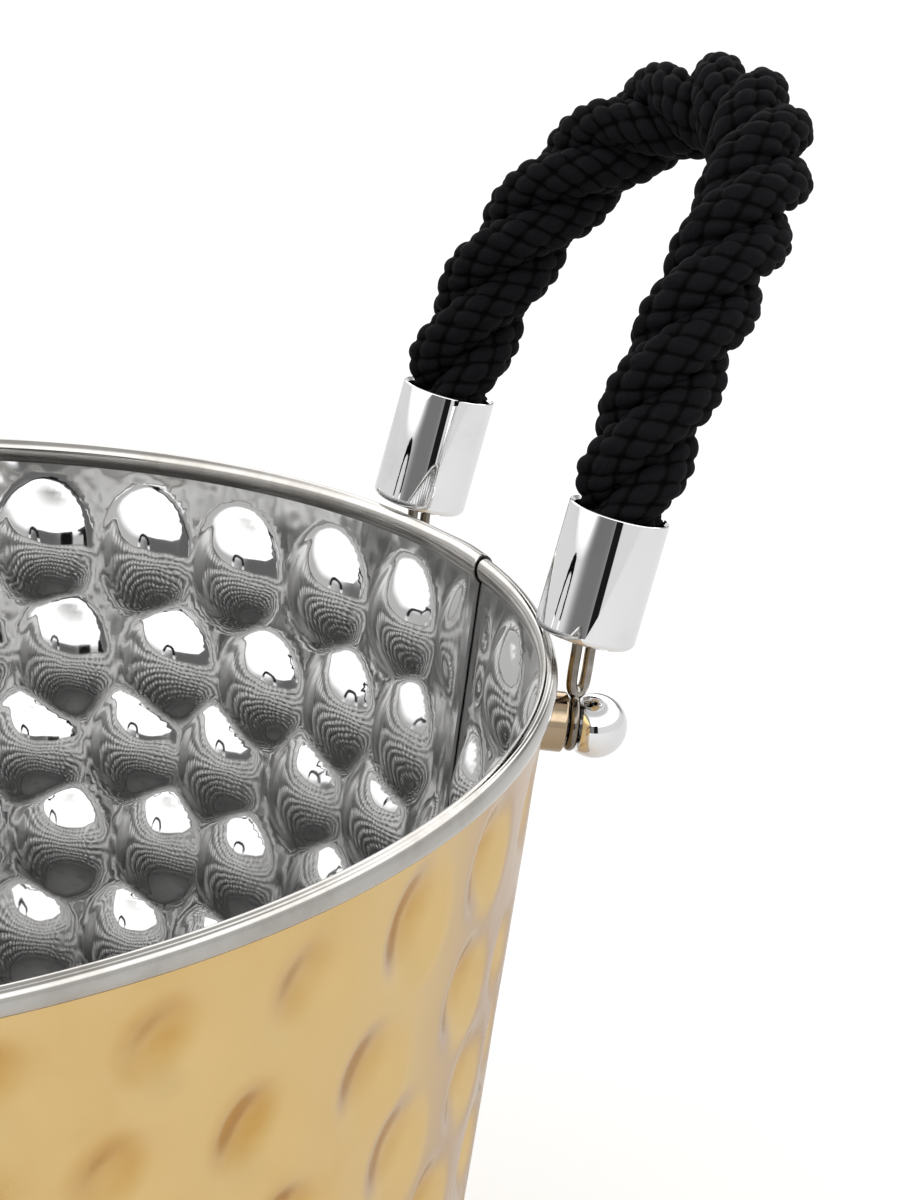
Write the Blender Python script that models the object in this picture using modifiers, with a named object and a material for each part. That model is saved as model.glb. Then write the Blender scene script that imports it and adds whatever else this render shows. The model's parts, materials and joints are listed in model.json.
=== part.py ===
"""Ice bucket: a hammered steel bucket with two rope handles on ball studs.

Metres, +Z up. The origin is at the middle of the ring that the bucket stands on.
The handles face +X and -X, and each swings about a line through its two cross pins.
"""

import math

import bmesh
import bpy
from mathutils import Vector

# Bucket
RIM_RADIUS = 0.190
RIM_HEIGHT = 0.270
WALL_TAPER = math.radians(10.0)
SHEET = 0.001
GAP = 0.0004
AROUND = 64

# Rolled rim, an oval bead open at the bottom, where the wall goes in
BEAD_HALF_WIDTH = 0.0022
BEAD_HALF_HEIGHT = 0.0032
BEAD_SHEET = 0.0006
BEAD_MOUTH = math.radians(92.0)
RIM_WIRE_RADIUS = 0.0010
RIM_WIRE_LIFT = 0.0012

# Base pan and foot ring
FOOT_HEIGHT = 0.006
FOOT_WIDTH = 0.005
FOOT_BEVEL = 0.0008
FOOT_SEAT = 0.001
PAN_LIFT = 0.0045
PAN_DOME = 0.002
PAN_CORNER = 0.003
PAN_FLANGE = 0.006

# Studs, measured along each stud's own axis from the middle of the link's ring
STUD_AZIMUTH = math.radians(16.1)
STUD_DROP = 0.01905
STUD_STANDOFF = 0.0088
PIN_RADIUS = 0.0035
BOSS_RADIUS = 0.0071
BALL_RADIUS = 0.0076
BALL_OFFSET = 0.0055
STUD_AROUND = 20

# Links
LINK_WIRE = 0.0013
LINK_RING_RADIUS = 0.0053
LINK_WAIST = 0.0072
LIMB_SPREAD = 0.00175
EYE_SPREAD = 0.00325
LIMB_LOW = 0.0125
LIMB_TOP = 0.0190
EYE_SHOULDER = 0.0226
PIVOT_REACH = 0.0258

# Caps and cross pins, measured along the cap's axis from the pivot
CAP_LEAN = math.radians(18.2)
CAP_RADIUS = 0.0119
CAP_WALL = 0.0011
CAP_LENGTH = 0.0306
CAP_BASE = 0.0015
PIVOT_ABOVE_BASE = 0.00445
CAP_CORNER = 0.0020
SLOT_LENGTH = 0.0112
SLOT_WIDTH = 0.0066
CROSS_PIN_RADIUS = 0.0013

# Rope: an arch that bends outward from the line of its caps
ROPE_RADIUS = 0.0118
ROPE_NECK_RADIUS = 0.0103
ROPE_TUCK = 0.0170
ARCH_HEIGHT = 0.1161
ARCH_RISE = 0.062
ARCH_CROWN = 0.038
ARCH_BEND = 3.79
ARCH_DRIFT = 0.006
ROPE_STEPS = 13

SIDES = {"right": 0.0, "left": math.pi}
ENDS = {"front": -1.0, "back": 1.0}

FINISHES = {
    "gold_steel": ((0.78, 0.62, 0.36, 1.0), 0.22, 1.0),
    "polished_steel": ((0.72, 0.71, 0.69, 1.0), 0.12, 1.0),
    "chrome": ((0.82, 0.82, 0.83, 1.0), 0.06, 1.0),
    "plain_steel": ((0.55, 0.55, 0.55, 1.0), 0.35, 1.0),
    "black_rope": ((0.012, 0.012, 0.014, 1.0), 0.85, 0.0),
}


def clear_scene():
    for old in list(bpy.data.objects):
        bpy.data.objects.remove(old, do_unlink=True)


def new_collection(name):
    group = bpy.data.collections.new(name)
    bpy.context.scene.collection.children.link(group)
    return group


def finish(obj, finish_name):
    """Give the object a material of its own in the named finish."""
    colour, roughness, metallic = FINISHES[finish_name]
    material = bpy.data.materials.new(obj.name + "_" + finish_name)
    material.use_nodes = True
    shader = material.node_tree.nodes["Principled BSDF"]
    shader.inputs["Base Color"].default_value = colour
    shader.inputs["Roughness"].default_value = roughness
    shader.inputs["Metallic"].default_value = metallic
    obj.data.materials.clear()
    obj.data.materials.append(material)


def wall_radius(height):
    """Radius of the middle of the wall's sheet at a height above the table."""
    return RIM_RADIUS - (RIM_HEIGHT - height) * math.tan(WALL_TAPER)


def turned(name, profile, steps, group, closed=True):
    """Turn a profile of (radius, height) points about the object's Z axis."""
    mesh = bpy.data.meshes.new(name)
    points = [(radius, 0.0, height) for radius, height in profile]
    edges = [(i, i + 1) for i in range(len(points) - 1)]
    if closed:
        edges.append((len(points) - 1, 0))
    mesh.from_pydata(points, edges, [])
    obj = bpy.data.objects.new(name, mesh)
    group.objects.link(obj)
    screw = obj.modifiers.new("turn", "SCREW")
    screw.axis = "Z"
    screw.steps = steps
    screw.render_steps = steps
    screw.use_merge_vertices = True
    screw.merge_threshold = 0.00001
    screw.use_smooth_shade = True
    return obj


def mesh_of(obj):
    """Turn a curve, or an object with modifiers, into a plain welded mesh object."""
    bpy.context.view_layer.update()
    evaluated = obj.evaluated_get(bpy.context.evaluated_depsgraph_get())
    mesh = bpy.data.meshes.new_from_object(evaluated)
    work = bmesh.new()
    work.from_mesh(mesh)
    bmesh.ops.remove_doubles(work, verts=work.verts, dist=0.00001)
    bmesh.ops.recalc_face_normals(work, faces=work.faces)
    work.to_mesh(mesh)
    work.free()
    solid = bpy.data.objects.new(obj.name, mesh)
    for group in obj.users_collection:
        group.objects.link(solid)
    solid.parent = obj.parent
    solid.matrix_world = obj.matrix_world
    name = obj.name
    bpy.data.objects.remove(obj, do_unlink=True)
    solid.name = name
    mesh.shade_smooth()
    mesh.set_sharp_from_angle(angle=math.radians(40.0))
    return solid


def tube(name, points, radius, group, scales=None, cyclic=False, sides_level=2):
    """A round tube along points, as a curve; scales vary its radius from point to point."""
    curve = bpy.data.curves.new(name, "CURVE")
    curve.dimensions = "3D"
    spline = curve.splines.new("POLY")
    spline.points.add(len(points) - 1)
    for i, point in enumerate(points):
        spline.points[i].co = (point[0], point[1], point[2], 1.0)
        spline.points[i].radius = scales[i] if scales else 1.0
    spline.use_cyclic_u = cyclic
    curve.bevel_depth = radius
    curve.bevel_resolution = sides_level
    curve.use_fill_caps = not cyclic
    obj = bpy.data.objects.new(name, curve)
    group.objects.link(obj)
    return obj


def axis_empty(name, location, rotation, group):
    """An empty on a joint's axis, which the moving pieces are parented to."""
    empty = bpy.data.objects.new(name, None)
    empty.empty_display_size = 0.02
    empty.location = location
    empty.rotation_euler = rotation
    group.objects.link(empty)
    return empty


def hang_on(obj, empty, location=(0.0, 0.0, 0.0)):
    obj.parent = empty
    obj.location = location


def cut(obj, cutter, operation="DIFFERENCE"):
    boolean = obj.modifiers.new(operation.lower(), "BOOLEAN")
    boolean.operation = operation
    boolean.solver = "EXACT"
    boolean.object = cutter
    cutter.hide_render = True
    cutter.display_type = "WIRE"


# Bucket body


def make_wall(group):
    half = SHEET / 2 / math.cos(WALL_TAPER)
    top = RIM_HEIGHT - GAP
    bottom = FOOT_HEIGHT + GAP
    profile = [
        (wall_radius(top) + half, top),
        (wall_radius(bottom) + half, bottom),
        (wall_radius(bottom) - half, bottom),
        (wall_radius(top) - half, top),
    ]
    finish(turned("bucket_wall", profile, AROUND, group), "gold_steel")


def bead_arc(half_width, half_height, count):
    """Points round the bead's oval from one side of its mouth, which faces down the wall, to the other."""
    start = -math.pi / 2 - WALL_TAPER + BEAD_MOUTH / 2
    sweep = 2 * math.pi - BEAD_MOUTH
    points = []
    for i in range(count):
        turn = start + sweep * i / (count - 1)
        radius = RIM_RADIUS + half_width * math.cos(turn)
        points.append((radius, RIM_HEIGHT + half_height * math.sin(turn)))
    return points


def make_rim(group):
    outer = bead_arc(BEAD_HALF_WIDTH, BEAD_HALF_HEIGHT, 10)
    inner = bead_arc(BEAD_HALF_WIDTH - BEAD_SHEET, BEAD_HALF_HEIGHT - BEAD_SHEET, 8)
    profile = list(reversed(outer)) + inner
    profile.reverse()
    roll = mesh_of(turned("rim_roll", profile, AROUND, group))
    finish(roll, "polished_steel")

    wire = []
    for i in range(6):
        turn = -2 * math.pi * i / 6
        radius = RIM_RADIUS + RIM_WIRE_RADIUS * math.cos(turn)
        wire.append((radius, RIM_HEIGHT + RIM_WIRE_LIFT + RIM_WIRE_RADIUS * math.sin(turn)))
    finish(turned("rim_wire", wire, AROUND, group), "plain_steel")


def make_base(group):
    inset = SHEET / 2 / math.cos(WALL_TAPER) + GAP
    flange_top = PAN_LIFT + PAN_FLANGE
    outer_top = wall_radius(flange_top) - inset
    outer_low = wall_radius(PAN_LIFT) - inset - PAN_CORNER - SHEET
    corner = wall_radius(PAN_LIFT + PAN_CORNER) - inset
    profile = [
        (0.0, PAN_LIFT + PAN_DOME + SHEET),
        (outer_low, PAN_LIFT + SHEET),
        (corner - SHEET, PAN_LIFT + PAN_CORNER + SHEET / 2),
        (outer_top - SHEET, flange_top),
        (outer_top, flange_top),
        (corner, PAN_LIFT + PAN_CORNER),
        (outer_low, PAN_LIFT),
        (0.0, PAN_LIFT + PAN_DOME),
    ]
    pan = mesh_of(turned("bucket_base", profile, AROUND, group, closed=False))
    finish(pan, "polished_steel")

    # The ring stands under the wall, and its inner step stays clear of the pan above it.
    middle = wall_radius(FOOT_HEIGHT)
    inner = middle - FOOT_WIDTH / 2
    outer = middle + FOOT_WIDTH / 2
    ring = [
        (middle + FOOT_SEAT, FOOT_HEIGHT),
        (outer, FOOT_HEIGHT - 2 * FOOT_BEVEL),
        (outer, FOOT_BEVEL),
        (outer - FOOT_BEVEL, 0.0),
        (inner + FOOT_BEVEL, 0.0),
        (inner, FOOT_BEVEL),
        (inner, PAN_LIFT - 5 * GAP),
        (middle - FOOT_SEAT, FOOT_HEIGHT - FOOT_BEVEL),
    ]
    finish(turned("foot_ring", ring, AROUND, group), "polished_steel")


# Studs


def stud_place(side, end):
    """Where the middle of the link's ring is, and the angles that lay Z along the stud's axis."""
    azimuth = SIDES[side] + ENDS[end] * STUD_AZIMUTH
    height = RIM_HEIGHT - STUD_DROP
    radius = wall_radius(height) + SHEET / 2 + STUD_STANDOFF
    place = (radius * math.cos(azimuth), radius * math.sin(azimuth), height)
    return place, (0.0, math.pi / 2 + WALL_TAPER, azimuth)


def ball_profile(bore, flat, depth):
    """A ball cut flat where it meets the ring, with a blind bore for the pin."""
    reach = BALL_OFFSET - flat
    start = math.acos(-reach / BALL_RADIUS)
    points = []
    for i in range(9):
        turn = start * i / 8
        points.append((BALL_RADIUS * math.sin(turn), BALL_OFFSET + BALL_RADIUS * math.cos(turn)))
    return points + [(bore, flat), (bore, depth), (0.0, depth)]


def make_stud(side, end, group):
    place, angles = stud_place(side, end)
    empty = axis_empty("stud_axis_%s_%s" % (side, end), place, angles, group)
    face = LINK_WIRE + GAP
    foot = -STUD_STANDOFF * math.cos(WALL_TAPER) + GAP
    bore = PIN_RADIUS + GAP
    boss = [
        (BOSS_RADIUS - 0.0005, -face),
        (BOSS_RADIUS, -face - 0.0005),
        (BOSS_RADIUS, foot),
        (bore, foot),
        (bore, -face),
    ]
    drum = turned("stud_boss_%s_%s" % (side, end), boss, STUD_AROUND, group)
    hang_on(drum, empty)
    finish(drum, "chrome")

    pin = [
        (0.0, BALL_OFFSET),
        (PIN_RADIUS, BALL_OFFSET),
        (PIN_RADIUS, foot + GAP),
        (0.0, foot + GAP),
    ]
    shaft = turned("stud_pin_%s_%s" % (side, end), pin, STUD_AROUND, group, closed=False)
    hang_on(shaft, empty)
    finish(shaft, "plain_steel")

    profile = ball_profile(bore, face, BALL_OFFSET + GAP)
    ball = turned("ball_knob_%s_%s" % (side, end), profile, STUD_AROUND, group, closed=False)
    hang_on(ball, empty)
    finish(ball, "chrome")
    return empty


def eye_path(twist):
    """The upper eye's centreline in the stud's frame: a narrow pair of limbs that widens to a round eye.

    The link rises along local -X, and its limbs part along a line turned by twist from local Z, so
    that the eye faces along the cross pin.
    """
    shape = [(LINK_WAIST, 0.0), (LINK_WAIST + LINK_WIRE, 0.8 * LIMB_SPREAD)]
    shape += [(LIMB_LOW, LIMB_SPREAD), (LIMB_TOP, LIMB_SPREAD), (EYE_SHOULDER, 0.7 * EYE_SPREAD)]
    for i in range(4):
        turn = math.pi / 2 * i / 3
        shape.append((PIVOT_REACH + EYE_SPREAD * math.sin(turn), EYE_SPREAD * math.cos(turn)))
    outline = shape + [(rise, -spread) for rise, spread in reversed(shape[1:-1])]
    sideways = Vector((0.0, -math.sin(twist), math.cos(twist)))
    upward = Vector((-1.0, 0.0, 0.0))
    return [upward * rise + sideways * spread for rise, spread in outline]


def make_link(side, end, empty, group, cutters):
    name = "link_%s_%s" % (side, end)
    bpy.ops.mesh.primitive_torus_add(
        major_radius=LINK_RING_RADIUS, minor_radius=LINK_WIRE, major_segments=20, minor_segments=8
    )
    ring = bpy.context.object
    ring.name = name
    for holder in list(ring.users_collection):
        holder.objects.unlink(ring)
    group.objects.link(ring)
    hang_on(ring, empty)

    path = eye_path(ENDS[end] * STUD_AZIMUTH)
    eye = tube(name + "_eye", path, LINK_WIRE, cutters, cyclic=True)
    hang_on(eye, empty)
    eye = mesh_of(eye)
    cut(ring, eye, "UNION")
    ring.data.shade_smooth()
    finish(ring, "chrome")


# Handles


def pivot_radius():
    """Distance of a link's pivot from the bucket's axis."""
    stud_radius = wall_radius(RIM_HEIGHT - STUD_DROP) + SHEET / 2 + STUD_STANDOFF
    return stud_radius + PIVOT_REACH * math.sin(WALL_TAPER)


def half_spacing():
    """Half the distance between a handle's two pivots."""
    return pivot_radius() * math.sin(STUD_AZIMUTH)


def pivot_place(side):
    """The middle of the line through a handle's two cross pins."""
    radius = pivot_radius() * math.cos(STUD_AZIMUTH)
    rise = RIM_HEIGHT - STUD_DROP + PIVOT_REACH * math.cos(WALL_TAPER)
    return (radius * math.cos(SIDES[side]), radius * math.sin(SIDES[side]), rise)


def cap_profile():
    """A cup from the middle of its floor up the inside, over the mouth and down the outside."""
    top = CAP_LENGTH - PIVOT_ABOVE_BASE
    base = -PIVOT_ABOVE_BASE
    inside = CAP_RADIUS - CAP_WALL
    points = [(0.0, base + CAP_BASE), (inside, base + CAP_BASE), (inside, top), (CAP_RADIUS, top)]
    for i in range(4):
        turn = math.pi / 2 * i / 3
        radius = CAP_RADIUS - CAP_CORNER * (1 - math.cos(turn))
        points.append((radius, base + CAP_CORNER * (1 - math.sin(turn))))
    return points + [(0.0, base)]


def make_slot_cutter(name, cutters):
    """A round-ended bar that cuts the slot in a cap's base."""
    half = SLOT_LENGTH / 2 - SLOT_WIDTH / 2
    curve = bpy.data.curves.new(name, "CURVE")
    curve.dimensions = "2D"
    curve.fill_mode = "BOTH"
    curve.extrude = 2 * CAP_BASE
    spline = curve.splines.new("POLY")
    outline = []
    for centre, start in ((half, -math.pi / 2), (-half, math.pi / 2)):
        for i in range(7):
            turn = start + math.pi * i / 6
            outline.append((centre + SLOT_WIDTH / 2 * math.cos(turn), SLOT_WIDTH / 2 * math.sin(turn)))
    spline.points.add(len(outline) - 1)
    for i, (x, y) in enumerate(outline):
        spline.points[i].co = (x, y, 0.0, 1.0)
    spline.use_cyclic_u = True
    obj = bpy.data.objects.new(name, curve)
    cutters.objects.link(obj)
    return obj


def arch_point(t, sign):
    """A point on one half of the rope's centreline, t from 0 at the cap's mouth to 1 at the crown."""
    spacing = half_spacing()
    mouth = CAP_LENGTH - PIVOT_ABOVE_BASE
    corners = [
        (sign * spacing, mouth),
        (sign * spacing, mouth + ARCH_RISE),
        (ARCH_DRIFT + sign * ARCH_CROWN, ARCH_HEIGHT),
        (ARCH_DRIFT, ARCH_HEIGHT),
    ]
    weights = [(1 - t) ** 3, 3 * t * (1 - t) ** 2, 3 * t * t * (1 - t), t ** 3]
    across = sum(w * c[0] for w, c in zip(weights, corners))
    up = sum(w * c[1] for w, c in zip(weights, corners))
    outward = ARCH_BEND * (up - mouth) ** 2
    return Vector((outward, across, up))


def rope_path():
    """The rope's centreline from one end inside its cap, over the arch, to the other."""
    spacing = half_spacing()
    mouth = CAP_LENGTH - PIVOT_ABOVE_BASE
    ends = [mouth - ROPE_TUCK, mouth - ROPE_TUCK / 2, mouth - 0.001]
    tucked = [Vector((0.0, -spacing, height)) for height in ends]
    rise = [arch_point(i / ROPE_STEPS, -1.0) for i in range(1, ROPE_STEPS + 1)]
    fall = [arch_point(1 - i / ROPE_STEPS, 1.0) for i in range(1, ROPE_STEPS)]
    return tucked + rise + fall + [Vector((0.0, spacing, height)) for height in reversed(ends)]


def make_handle(side, group, cutters):
    empty = axis_empty("handle_axis_" + side, pivot_place(side), (0.0, CAP_LEAN, SIDES[side]), group)
    path = rope_path()
    neck = ROPE_NECK_RADIUS / ROPE_RADIUS
    scales = [neck] * 3 + [1.0] * (len(path) - 6) + [neck] * 3
    rope = tube("rope_" + side, path, ROPE_RADIUS, group, scales=scales)
    hang_on(rope, empty)
    finish(mesh_of(rope), "black_rope")

    # The left handle is the right one turned half round, so its front end is the one at +Y.
    for end, sign in ENDS.items():
        place = (0.0, half_spacing() * sign, 0.0)
        label = "%s_%s" % (side, end)
        cap = turned("cap_" + label, cap_profile(), 24, group, closed=False)
        hang_on(cap, empty, place)
        cap = mesh_of(cap)
        slot = make_slot_cutter("slot_" + label, cutters)
        hang_on(slot, empty, (0.0, place[1], -PIVOT_ABOVE_BASE))
        cut(cap, mesh_of(slot))
        finish(cap, "chrome")

        length = 2 * (CAP_RADIUS - CAP_WALL - 2 * GAP)
        bpy.ops.mesh.primitive_cylinder_add(vertices=12, radius=CROSS_PIN_RADIUS, depth=length)
        pin = bpy.context.object
        pin.name = "cross_pin_" + label
        for holder in list(pin.users_collection):
            holder.objects.unlink(pin)
        group.objects.link(pin)
        pin.rotation_euler = (math.pi / 2, 0.0, 0.0)
        hang_on(pin, empty, place)
        finish(pin, "plain_steel")


clear_scene()
parts = new_collection("ice_bucket")
tools = new_collection("cutters")
make_wall(parts)
make_rim(parts)
make_base(parts)
for side_name in SIDES:
    for end_name in ENDS:
        stud = make_stud(side_name, end_name, parts)
        make_link(side_name, end_name, stud, parts, tools)
    make_handle(side_name, parts, tools)
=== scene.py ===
"""The looks of a hammered steel ice bucket with two rope handles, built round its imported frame.

Metres, +Z up. The bucket stands at the origin, its handles face +X and -X, and the lap seam of its
wall and rim is just behind the +X axis.
"""

import json
import math

import bmesh
import bpy
import numpy as np
from mathutils import Matrix, Vector


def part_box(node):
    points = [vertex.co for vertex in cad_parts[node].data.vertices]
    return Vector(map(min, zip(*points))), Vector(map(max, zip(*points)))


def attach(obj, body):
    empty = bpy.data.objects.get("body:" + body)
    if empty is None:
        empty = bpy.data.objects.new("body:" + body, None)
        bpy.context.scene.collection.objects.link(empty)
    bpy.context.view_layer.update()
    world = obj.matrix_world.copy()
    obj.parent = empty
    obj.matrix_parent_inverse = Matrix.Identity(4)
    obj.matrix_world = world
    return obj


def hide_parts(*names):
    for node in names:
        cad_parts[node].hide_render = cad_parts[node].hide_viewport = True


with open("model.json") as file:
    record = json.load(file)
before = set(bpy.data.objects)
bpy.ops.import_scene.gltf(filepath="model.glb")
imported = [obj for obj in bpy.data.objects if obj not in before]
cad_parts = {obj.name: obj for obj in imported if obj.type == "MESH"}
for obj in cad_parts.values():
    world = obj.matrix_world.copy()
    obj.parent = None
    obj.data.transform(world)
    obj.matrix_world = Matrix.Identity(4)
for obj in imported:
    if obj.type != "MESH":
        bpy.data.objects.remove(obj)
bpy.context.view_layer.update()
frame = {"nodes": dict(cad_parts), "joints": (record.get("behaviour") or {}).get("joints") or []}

# --------------------------------------------------------------------------------------------------
# Hammered wall
# One sheet of 1 mm stainless steel, rolled to a cone and lapped on itself at the seam. Every hammer
# blow from outside stands proud inside as an egg-shaped dome. The outside is coated champagne gold,
# and the inside is mirror polished.
# --------------------------------------------------------------------------------------------------

WALL_TAPER = math.radians(10.0)
SHEET = 0.001
RIM_ABOVE_WALL = 0.0004
SEAM_AZIMUTH = math.radians(2.0)
LAP = 0.0032
LAP_CLEARANCE = 0.00015
JOGGLE_START = 0.0004
JOGGLE = 0.0030
WALL_JOINT = (0.0005, 0.0011)
TOP_LEVELLED = 0.004
DOMES_ROUND = 36
ROW_DROPS = (0.0205, 0.0508, 0.0758, 0.1008, 0.1300, 0.1580, 0.1855, 0.2125, 0.2390)
ROW_STAGGER = 0.28
ROW_SHIFT = math.radians(0.8)
ROW_SKEW = 0.0045
FRONT_AZIMUTH = math.radians(-80.0)
FRONT_DRIFT = math.radians(-6.6)
FRONT_SPREAD = math.radians(40.0)
DOME_DEPTH = 0.0050
DOME_WIDE = 0.0152
DOME_TALL = 0.0160
DOME_ROUNDNESS = 1.05
HOLLOW_ROUNDNESS = 2.1
HOLLOW_DEPTH = 0.0038
# Painted shade: the darker tint in each hollow is moved this part of a blow up and back along its row.
HOLLOW_SHADE_SHIFT = 0.20
# The blows fade out between these distances from the seam.
SEAM_PLAIN = (0.004, 0.013)
# How the blows vary: along the row in radians, up and down, in shape, and in depth.
BLOW_SLIP = 0.009
BLOW_DROP = 0.0013
BLOW_STRETCH = 0.03
BLOW_FORCE = 0.08
EGG = 0.10
WALL_COLUMNS = 660
WALL_ROWS = 158

wall_low, wall_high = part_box("bucket_wall")
RIM_HEIGHT = wall_high.z + RIM_ABOVE_WALL
MOUTH_RADIUS = wall_high.x - SHEET / 2 / math.cos(WALL_TAPER)


def wall_radius(height):
    """Radius of the middle of the sheet at a height, before it is hammered."""
    return MOUTH_RADIUS - (wall_high.z - height) * math.tan(WALL_TAPER)


def smooth_step(low, high, value):
    """0 below low, 1 above high, and a smooth rise between them."""
    t = np.clip((value - low) / (high - low), 0.0, 1.0)
    return t * t * (3.0 - 2.0 * t)


def dome_field(azimuth, height, roundness, shift=0.0):
    """How far each point of the sheet is driven in, from 0 to about 1, as a union of all the blows.

    The rows were struck by eye. They run a little lower at the back, and at the front the blows have
    drifted along the row by two thirds of their spacing. They narrow with the wall towards its foot.
    Roundness above 1 gives each blow a soft skirt, and a shift moves every blow up and back along its
    row by that part of its size.
    """
    rng = np.random.default_rng(7)
    total = np.zeros_like(azimuth)
    pitch = 2 * math.pi / DOMES_ROUND
    for row, drop in enumerate(ROW_DROPS):
        middle = RIM_HEIGHT - drop
        start = SEAM_AZIMUTH + ROW_SHIFT - (row % 2) * ROW_STAGGER * pitch
        for column in range(DOMES_ROUND):
            nudge = rng.normal(0.0, 1.0, 4)
            centre = start + column * pitch + nudge[0] * BLOW_SLIP
            from_front = (centre - FRONT_AZIMUTH + math.pi) % (2 * math.pi) - math.pi
            centre += FRONT_DRIFT * math.exp(-((from_front / FRONT_SPREAD) ** 2))
            struck = middle - ROW_SKEW * max(0.0, math.sin(centre)) + nudge[1] * BLOW_DROP
            across = (azimuth - centre + math.pi) % (2 * math.pi) - math.pi
            across = across * MOUTH_RADIUS / (DOME_WIDE * (1 + BLOW_STRETCH * nudge[2])) + shift
            along = (height - struck) / (DOME_TALL * (1 - BLOW_STRETCH * nudge[2])) - shift
            # The lower half of each dome is fuller than its upper half.
            across = across * (1 + EGG * along)
            rest = np.clip(1 - across ** 2 - along ** 2, 0.0, None)
            total += ((1 + BLOW_FORCE * nudge[3]) * rest ** roundness) ** 3
    return np.cbrt(total)


def quads_of(rows, columns, offset=0, flip=False):
    """Faces of a rows by columns sheet of points whose first point is number offset."""
    i, j = np.meshgrid(np.arange(rows - 1), np.arange(columns - 1), indexing="ij")
    a = (offset + i * columns + j).ravel()
    corners = [a, a + 1, a + 1 + columns, a + columns]
    if flip:
        corners.reverse()
    return np.stack(corners, axis=1).tolist()


def new_piece(name, points, faces, smooth=True):
    """A mesh object in the scene, shaded smooth unless it says otherwise."""
    mesh = bpy.data.meshes.new(name)
    mesh.from_pydata([tuple(p) for p in points], [], faces)
    mesh.update()
    if smooth:
        mesh.shade_smooth()
    piece = bpy.data.objects.new(name, mesh)
    bpy.context.scene.collection.objects.link(piece)
    return piece


def hammered_wall():
    length = 2 * math.pi * MOUTH_RADIUS + LAP
    run = np.linspace(-LAP / 2, length - LAP / 2, WALL_COLUMNS)
    # More columns at the seam, where the sheet steps over its own end.
    edge = length - 3 * LAP / 2
    fine = [np.linspace(-LAP / 2, 3 * LAP, 24), np.linspace(edge - LAP, edge, 12)]
    run = np.unique(np.concatenate([run] + fine))
    columns = len(run)
    heights = np.linspace(wall_low.z, wall_high.z, WALL_ROWS)
    travel, height = np.meshgrid(run, heights)
    azimuth = SEAM_AZIMUTH + travel / MOUTH_RADIUS

    to_seam = np.minimum(np.abs(travel), np.abs(length - LAP - travel))
    plain = smooth_step(*SEAM_PLAIN, to_seam)
    hollow = HOLLOW_DEPTH * plain * dome_field(azimuth, height, HOLLOW_ROUNDNESS)
    dome = DOME_DEPTH * plain * dome_field(azimuth, height, DOME_ROUNDNESS)
    # Painted shade: a mask of the hollows, moved up and back, for their darker painted tint.
    hollow_shade = plain * dome_field(azimuth, height, 1.0, HOLLOW_SHADE_SHIFT)
    step = 1 - smooth_step(LAP / 2 + JOGGLE_START, LAP / 2 + JOGGLE, travel)

    radius = wall_radius(height)
    skins = []
    for side, inward in ((0.5, hollow), (-0.5, dome)):
        push = side * SHEET - inward - step * (SHEET + LAP_CLEARANCE)
        r = radius + push * math.cos(WALL_TAPER)
        z = height - push * math.sin(WALL_TAPER) * np.clip((wall_high.z - height) / TOP_LEVELLED, 0.0, 1.0)
        skins.append(np.stack([r * np.cos(azimuth), r * np.sin(azimuth), z], axis=2).reshape(-1, 3))
    rows, count = WALL_ROWS, WALL_ROWS * columns
    faces = quads_of(rows, columns) + quads_of(rows, columns, count, flip=True)
    outside = len(faces) // 2
    top, inner_top = (rows - 1) * columns, count + (rows - 1) * columns
    for j in range(columns - 1):
        faces.append([count + j, count + j + 1, j + 1, j])
        faces.append([top + j, top + j + 1, inner_top + j + 1, inner_top + j])
    for i in range(rows - 1):
        a, b = i * columns, (i + 1) * columns
        faces.append([a, b, count + b, count + a])
        c, d = a + columns - 1, b + columns - 1
        faces.append([count + c, count + d, d, c])
    wall = new_piece("hammered_wall", np.concatenate(skins), faces)
    # The free edge inside the lap throws a dark line on the sheet that runs on under it.
    past_edge = edge - travel
    gap = 1 - smooth_step(*WALL_JOINT, past_edge)
    for label, mask in (("hollow_shade", hollow_shade), ("joint", gap)):
        layer = wall.data.attributes.new(label, "FLOAT", "POINT")
        layer.data.foreach_set("value", np.tile(mask.ravel(), 2).astype(np.float32))
    inside = np.ones(len(faces), dtype=np.int32)
    inside[:outside] = 0
    wall.data.polygons.foreach_set("material_index", inside)
    wall.data.set_sharp_from_angle(angle=math.radians(60.0))
    return wall


def node(tree, kind, place=(0, 0), **values):
    """A shader node of a kind, at its place in the tree, with its settings."""
    made = tree.nodes.new(kind)
    made.location = place
    for name, value in values.items():
        setattr(made, name, value)
    return made


def new_group(name, inputs, outputs):
    """An empty shader node group with named inputs and outputs, and the nodes that hold them."""
    tree = bpy.data.node_groups.new(name, "ShaderNodeTree")
    for label, value in inputs:
        socket = tree.interface.new_socket(label, in_out="INPUT", socket_type="NodeSocketFloat")
        socket.default_value = value
    for label, kind in outputs:
        tree.interface.new_socket(label, in_out="OUTPUT", socket_type=kind)
    return tree, node(tree, "NodeGroupInput", (-900, 0)), node(tree, "NodeGroupOutput", (700, 0))


def feed(tree, socket, value):
    """Set a socket to a number or a colour, or link it to another socket."""
    if isinstance(value, (int, float, tuple)):
        socket.default_value = value
    else:
        tree.links.new(value, socket)


def math_node(tree, operation, first, second, place=(0, 0)):
    """The result of a sum on two values, each a socket or a number."""
    made = node(tree, "ShaderNodeMath", place, operation=operation)
    feed(tree, made.inputs[0], first)
    feed(tree, made.inputs[1], second)
    return made.outputs[0]


def noise(tree, where, scale, detail, place=(0, 0), roughness=0.5):
    """Cloudy values from 0 to 1 over a place, or over the piece's own box where there is none."""
    made = node(tree, "ShaderNodeTexNoise", place)
    feed(tree, made.inputs["Scale"], scale)
    feed(tree, made.inputs["Detail"], detail)
    feed(tree, made.inputs["Roughness"], roughness)
    if where is not None:
        tree.links.new(where, made.inputs["Vector"])
    return made.outputs["Fac"]


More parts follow.
